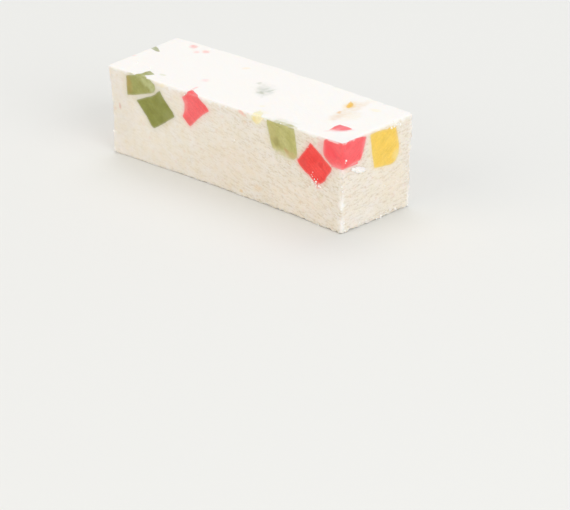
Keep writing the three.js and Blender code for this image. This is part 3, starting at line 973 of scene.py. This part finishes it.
# The stains and the painted light and shade over a material's own colour, its bump and its shader
def addSurface(tree, colour, relief, finish):
    stainAndPaintedLight = {0: field(tree, "stainAndPaintedLight", "Alpha"), 6: colour, 7: field(tree, "stainAndPaintedLight", "Color")}
    withStainsAndPaintedLight = addNode(tree, "Mix", {"data_type": "RGBA"}, stainAndPaintedLight)[2]
    settings = {"Strength": 1.0, "Distance": finish["bump"] * metre}
    raised = addNode(tree, "Bump", settings, {"Height": relief})[0]
    shader = addNode(tree, "BsdfPrincipled", finish["shader"], {"Base Color": withStainsAndPaintedLight, "Normal": raised})
    addNode(tree, "OutputMaterial", None, {"Surface": shader[0]})


# Whipped foam: an opaque mass that light enters a little, so that its shadows are soft. Its pores are about
# half a millimetre wide, and the knife drew them out
foamFinish = {
    "cut": "#f0ebe3",
    "endCut": "#f0e8de",
    "cutWarm": "#eee6d6",
    # Painted shade in the pores and the streaks' hollows: its colour on the long sides and on the ends, and
    # at most what share of it
    "hollow": "#ccbc9e",
    "endPoreShade": "#d0bfa8",
    "poreShadeShare": 0.63,
    "sideStreak": (1.7, 0.45, 0.45),
    "sideTurn": (0, 14, 0),
    "endStreak": (0.48, 2.2, 0.48),
    "endTurn": (6, 0, 0),
    "pore": 0.45,
    "poreShare": 0.38,
    "mottle": 3.0,
    "bump": 0.125,
    "shader": {
        "Roughness": 0.85,
        "Specular IOR Level": 0.3,
        "Subsurface Weight": 0.3,
        "Subsurface Scale": 0.35 * metre,
        "Subsurface Radius": (1.0, 0.8, 0.6),
    },
}


def foamMaterial(name, finish):
    material, tree = newMaterial(name)
    sideStreak = grain(tree, finish["sideStreak"], finish["sideTurn"], detail=1.0)
    endStreak = grain(tree, finish["endStreak"], finish["endTurn"], detail=1.0)
    streak = facedGrain(tree, sideStreak, endStreak)
    pore = grain(tree, (finish["pore"],) * 3, detail=3.0)
    cut = addNode(tree, "Mix", {0: finish["poreShare"]}, {2: streak, 3: pore})[0]
    relief = addNode(tree, "Mix", {2: 0.5}, {0: field(tree, "relief"), 3: cut})[0]
    warm = grain(tree, (finish["mottle"],) * 3, detail=5.0)
    onEnd = field(tree, "onEnd")
    settings = {"data_type": "RGBA", 6: linear(finish["cut"]), 7: linear(finish["endCut"])}
    plain = addNode(tree, "Mix", settings, {0: onEnd})[2]
    settings = {"data_type": "RGBA", 7: linear(finish["cutWarm"])}
    warmed = addNode(tree, "Mix", settings, {0: warm, 6: plain})[2]
    # Painted shade: where the relief lies below its middle, the colour darkens towards the pores' shade
    # colour, most in the deepest hollows
    settings = {"From Min": 0.5, "From Max": 0.0, "To Max": finish["poreShadeShare"]}
    deep = addNode(tree, "MapRange", settings, {"Value": relief})[0]
    settings = {"data_type": "RGBA", 6: linear(finish["hollow"]), 7: linear(finish["endPoreShade"])}
    hollow = addNode(tree, "Mix", settings, {0: onEnd})[2]
    poreShaded = addNode(tree, "Mix", {"data_type": "RGBA"}, {0: deep, 6: warmed, 7: hollow})[2]
    settings = {"data_type": "RGBA", 7: linear(starch["colour"])}
    dusted = addNode(tree, "Mix", settings, {0: field(tree, "dust"), 6: poreShaded})[2]
    addSurface(tree, dusted, relief, finish)
    return material


# Candied fruit jelly: translucent, cut smooth, with a soft sheen and faint lines from the knife, which are
# also painted into its colour as shade and light
jellyFinish = {
    "line": (8.0, 0.3),
    "sideTurn": 40,
    "endTurn": 32,
    "lineShade": 0.15,
    "cloud": 3.0,
    "fine": 0.4,
    "bump": 0.035,
    "shader": {
        "Roughness": 0.4,
        "IOR": 1.42,
        "Specular IOR Level": 0.5,
        "Subsurface Weight": 0.25,
        "Subsurface Scale": 0.4 * metre,
        "Subsurface Radius": (1.0, 0.6, 0.4),
    },
}


def jellyMaterial(name, code, deepCode, finish):
    material, tree = newMaterial(name)
    deep = grain(tree, (finish["cloud"],) * 3, low=0.4)
    long, narrow = finish["line"]
    sideLine = grain(tree, (long, narrow, narrow), (0, finish["sideTurn"], 0))
    endLine = grain(tree, (narrow, long, narrow), (finish["endTurn"], 0, 0))
    line = facedGrain(tree, sideLine, endLine)
    fine = grain(tree, (finish["fine"],) * 3, detail=3.0)
    relief = addNode(tree, "Mix", {0: 0.5}, {2: line, 3: fine})[0]
    settings = {"data_type": "RGBA", 6: linear(code), 7: linear(deepCode)}
    colour = addNode(tree, "Mix", settings, {0: deep})[2]
    # Painted shade and light: the lines' hollows darken the colour by up to lineShade, and their ridges
    # lighten it by up to half that
    settings = {"To Min": 1 - finish["lineShade"], "To Max": 1 + finish["lineShade"] / 2}
    shade = addNode(tree, "MapRange", settings, {"Value": relief})[0]
    lined = addNode(tree, "VectorMath", {"operation": "SCALE"}, {0: colour, "Scale": shade})[0]
    addSurface(tree, lined, relief, finish)
    return material


foam = foamMaterial("whippedFoam", foamFinish)
# Crumbs of foam with starch on them, bright white
starched = plainMaterial("starchedCrumb", {"Base Color": linear("#fdfbf7"), "Roughness": 0.9})
jellies = {}
for name, codes in jellyColours.items():
    jellies[name] = jellyMaterial(name + "CandiedJelly", *codes, jellyFinish)


def finishMesh(piece, material, sharp):
    piece.data.materials.clear()
    piece.data.materials.append(material)
    piece.data.shade_smooth()
    piece.data.set_sharp_from_angle(angle=radians(sharp))


finishMesh(foamBar, foam, 60)
for fruit in fruitPieces.values():
    finishMesh(fruit["piece"], jellies[fruit["jelly"]], 50)
print("materials on")

# Crumbs: how they lie along each kind of edge, as (share, reach), and in spots, as (face, middle, half size,
# share)
crumbs = {
    "perSquare": 1.1,  # at a share of 1
    "smallest": 0.1,  # radius
    "largest": 0.29,
    "skew": 2.2,  # most are small
    "ragged": 1.1,  # how fine their lumps are
    "seed": 7,
    "patches": (2.5, 0.5, 1.5),  # size, middle, most
    "thick": 0.3,  # the part of the reach where they are at their thickest
    "above": 0.3,  # none lie lower
    "edges": {"upright": (0.5, 0.9), "foot": (0.45, 0.5), "top": (0.12, 0.3)},
    "elsewhere": 0.003,
    "spots": (
        ("front", (31.4, 11.2), (1.7, 1.1), 3.4),
        ("front", (30.3, 13.3), (0.6, 1.0), 2.0),
        ("front", (29.3, 10.2), (3.5, 1.0), 0.5),
        ("front", (33.2, 19.4), (0.8, 0.7), 0.5),
        ("front", (-12.2, 23.4), (0.6, 0.5), 3.5),
        ("front", (22.0, 23.6), (3.0, 0.4), 0.8),
        ("near", (5.6, 23.5), (3.0, 0.8), 1.6),
        ("near", (-11.8, 19.0), (1.0, 1.4), 0.5),
        ("near", (12.5, 8.0), (0.7, 8.0), 3.0),
        ("near", (12.5, 19.0), (0.6, 4.0), 1.2),
        ("near", (0.0, 0.7), (12.5, 0.5), 0.8),
    ),
}


def crumbShares():
    surface = surfaceOf(crumbGround.data)
    points = surface["points"]
    share = np.full(len(points), crumbs["elsewhere"])
    size, middle, most = crumbs["patches"]
    patchy = np.clip(middle + noise(points / size, 95), 0, most)
    for kind, distance in toEdges(surface["block"]).items():
        strength, reach = crumbs["edges"][kind]
        share = np.maximum(share, strength * patchy * smoothStep(distance, reach, crumbs["thick"] * reach))
    for face, middle, half, strength in crumbs["spots"]:
        there, flat = onFace(surface, face)
        share = np.maximum(share, there * strength * (np.linalg.norm((flat - middle) / half, axis=1) < 1))
    setField(crumbGround.data, "crumbShare", share * (points[:, 2] > crumbs["above"]))


def crumbTree():
    tree = bpy.data.node_groups.new("scatteredCrumbs", "GeometryNodeTree")
    for name, kind in (
        ("Ground", "Geometry"),
        ("Crumbs per square metre", "Float"),
        ("Smallest radius", "Float"),
        ("Largest radius", "Float"),
        ("Seed", "Int"),
        ("Material", "Material"),
    ):
        tree.interface.new_socket(name, in_out="INPUT", socket_type="NodeSocket" + kind)
    tree.interface.new_socket("Crumbs", in_out="OUTPUT", socket_type="NodeSocketGeometry")
    given = addNode(tree, "NodeGroupInput")
    share = addNode(tree, "GeometryNodeInputNamedAttribute", {"Name": "crumbShare"})["Attribute"]
    sockets = {0: share, 1: given["Crumbs per square metre"]}
    density = addNode(tree, "Math", {"operation": "MULTIPLY"}, sockets)[0]
    settings = {"distribute_method": "RANDOM"}
    sockets = {"Mesh": given["Ground"], "Density": density, "Seed": given["Seed"]}
    places = addNode(tree, "GeometryNodeDistributePointsOnFaces", settings, sockets)["Points"]
    ball = addNode(tree, "GeometryNodeMeshIcoSphere", {"Radius": 1.0, "Subdivisions": 3})["Mesh"]
    lumps = addNode(tree, "TexNoise", {"Scale": crumbs["ragged"], "Detail": 3.0})["Color"]
    settings = {"operation": "SUBTRACT", 1: (0.5, 0.5, 0.5)}
    centred = addNode(tree, "VectorMath", settings, {0: lumps})[0]
    lump = addNode(tree, "GeometryNodeSetPosition", None, {"Geometry": ball, "Offset": centred})[0]
    settings = {"data_type": "FLOAT"}
    draw = addNode(tree, "FunctionNodeRandomValue", settings, {"Seed": given["Seed"]})[1]
    skewed = addNode(tree, "Math", {"operation": "POWER", 1: crumbs["skew"]}, {0: draw})[0]
    sockets = {"Value": skewed, "To Min": given["Smallest radius"], "To Max": given["Largest radius"]}
    radius = addNode(tree, "MapRange", None, sockets)[0]
    settings = {"data_type": "FLOAT_VECTOR", 1: (2 * pi,) * 3}
    turn = addNode(tree, "FunctionNodeRandomValue", settings)[0]
    sockets = {"Points": places, "Instance": lump, "Rotation": turn, "Scale": radius}
    placed = addNode(tree, "GeometryNodeInstanceOnPoints", None, sockets)[0]
    real = addNode(tree, "GeometryNodeRealizeInstances", None, {"Geometry": placed})[0]
    sockets = {"Geometry": real, "Material": given["Material"]}
    shaded = addNode(tree, "GeometryNodeSetMaterial", None, sockets)[0]
    addNode(tree, "NodeGroupOutput", None, {"Crumbs": shaded})
    return tree


def makeCrumbs():
    crumbShares()
    tree = crumbTree()
    scatter = crumbGround.modifiers.new("crumbs", "NODES")
    scatter.node_group = tree
    given = {
        "Crumbs per square metre": crumbs["perSquare"] / metre**2,
        "Smallest radius": crumbs["smallest"] * metre,
        "Largest radius": crumbs["largest"] * metre,
        "Seed": crumbs["seed"],
        "Material": starched,
    }
    for item in tree.interface.items_tree:
        if item.name in given:
            scatter[item.identifier] = given[item.name]
    crumbGround.name = "whiteCrumbs"
    settle(crumbGround)
    mesh = crumbGround.data
    mesh.vertices.foreach_set("co", inBox(pointsOf(mesh)).ravel())
    mesh.shade_smooth()
    print("crumbs:", len(mesh.polygons), "faces")


makeCrumbs()

# A floor of pale matt card, and soft light: each light's place in metres, its width, its power and its colour
stage = {"floor": 3000.0, "floorColour": "#e9eae8", "world": 0.6}
studioLights = {
    "overheadSoftbox": ((-0.35, 0.45, 1.3), 1.1, 5.8, "#ffffff"),
    "rightSoftbox": ((1.27, -0.3, 0.65), 1.1, 8.6, "#ffffff"),
    "leftSoftbox": ((-0.45, -1.38, 0.7), 1.3, 6.4, "#fff0df"),
}


def makeFloor():
    half = stage["floor"] * metre / 2
    mesh = bpy.data.meshes.new("studioFloor")
    corners = [(-half, -half, 0), (half, -half, 0), (half, half, 0), (-half, half, 0)]
    mesh.from_pydata(corners, [], [(0, 1, 2, 3)])
    floor = newObject("studioFloor", mesh)
    settings = {"Base Color": linear(stage["floorColour"]), "Roughness": 0.9, "Specular IOR Level": 0.1}
    mesh.materials.append(plainMaterial("paleCard", settings))


def makeLights():
    for name, (place, width, power, code) in studioLights.items():
        light = bpy.data.lights.new(name, "AREA")
        light.size = width
        light.energy = power
        light.color = linear(code)[:3]
        lamp = newObject(name, light)
        lamp.location = place
        lamp.rotation_euler = (-Vector(place)).to_track_quat("-Z", "Y").to_euler()
    world = bpy.data.worlds.new("studioTent")
    world.use_nodes = True
    background = world.node_tree.nodes["Background"]
    background.inputs["Color"].default_value = linear("#ffffff")
    background.inputs["Strength"].default_value = stage["world"]
    bpy.context.scene.world = world


# The camera of the photograph: a long lens from the near right, looking down
cameraView = {
    "azimuth": 42.5,
    "elevation": 24.3,
    "distance": 707.0,
    "aim": (7.1, -19.5),
    "lens": 176.8,
    "sensor": 36.0,
}


def makeCamera():
    azimuth, elevation = radians(cameraView["azimuth"]), radians(cameraView["elevation"])
    back = Vector((sin(azimuth) * cos(elevation), -cos(azimuth) * cos(elevation), sin(elevation)))
    right = Vector((cos(azimuth), sin(azimuth), 0))
    up = back.cross(right)
    place = back * cameraView["distance"] + right * cameraView["aim"][0] + up * cameraView["aim"][1]
    data = bpy.data.cameras.new("photoCamera")
    data.lens = cameraView["lens"]
    data.sensor_width = cameraView["sensor"]
    data.sensor_fit = "HORIZONTAL"
    data.clip_start = 0.05
    camera = newObject("photoCamera", data)
    turn = Matrix((right, up, back)).transposed()
    camera.matrix_world = Matrix.Translation((place + Vector(barForm["shift"])) * metre) @ turn.to_4x4()
    bpy.context.scene.camera = camera


makeFloor()
makeLights()
makeCamera()
bpy.context.scene.view_settings.view_transform = "Standard"
print("stage, lights and camera set")

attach(foamBar, "root")
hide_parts("foam_bar")
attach(crumbGround, "root")
for fruit in fruitPieces.values():
    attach(fruit["piece"], "root")
    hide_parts(fruit["node"])
